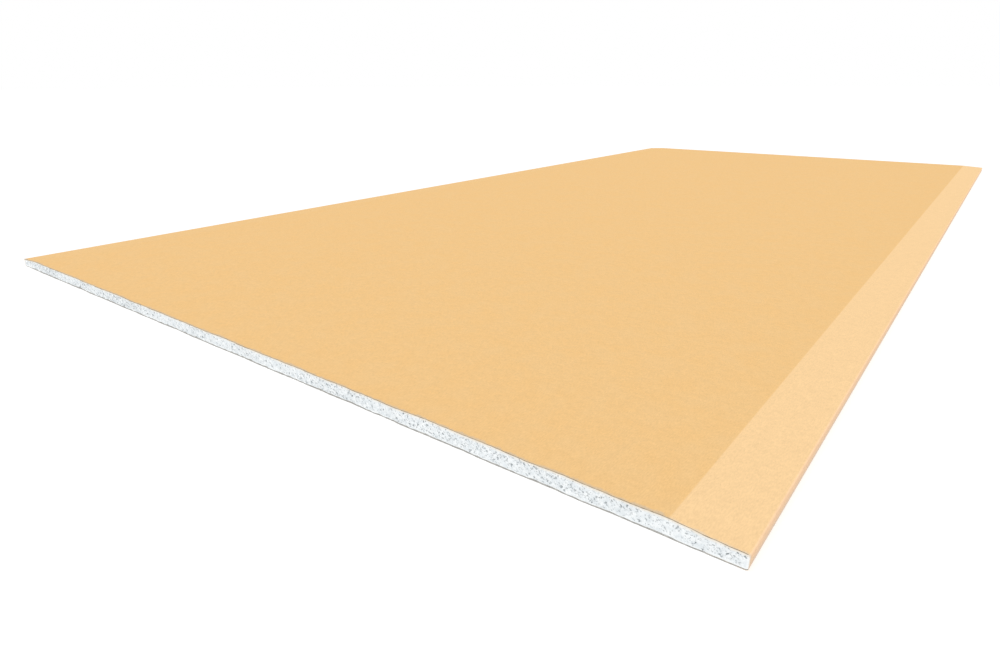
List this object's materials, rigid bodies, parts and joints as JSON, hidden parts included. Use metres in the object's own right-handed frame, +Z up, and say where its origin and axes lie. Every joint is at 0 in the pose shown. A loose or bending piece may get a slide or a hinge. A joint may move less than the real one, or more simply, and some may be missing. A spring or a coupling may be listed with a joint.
{
  "type": "moisture-resistant drywall",
  "caption": "Flat gypsum board with tapered, paper-wrapped long edges and square-cut ends, tan face paper and grey back paper, for lining walls and ceilings.",
  "frame": {"origin": "middle of the board's underside, on the surface it lies on", "axes": "+Z up out of the tan face, +Y along the board's length, +X across its width"},
  "size_m": [1.2192, 2.4384, 0.0159],
  "materials": {
    "gypsum": "matt, porous cut face",
    "face_paper": "matt tan lining paper",
    "back_paper": "matt grey recycled paper"
  },
  "bodies": {
    "root": {"gypsum_core": "gypsum", "face_paper": "face_paper", "back_paper": "back_paper"}
  },
  "joints": []
}
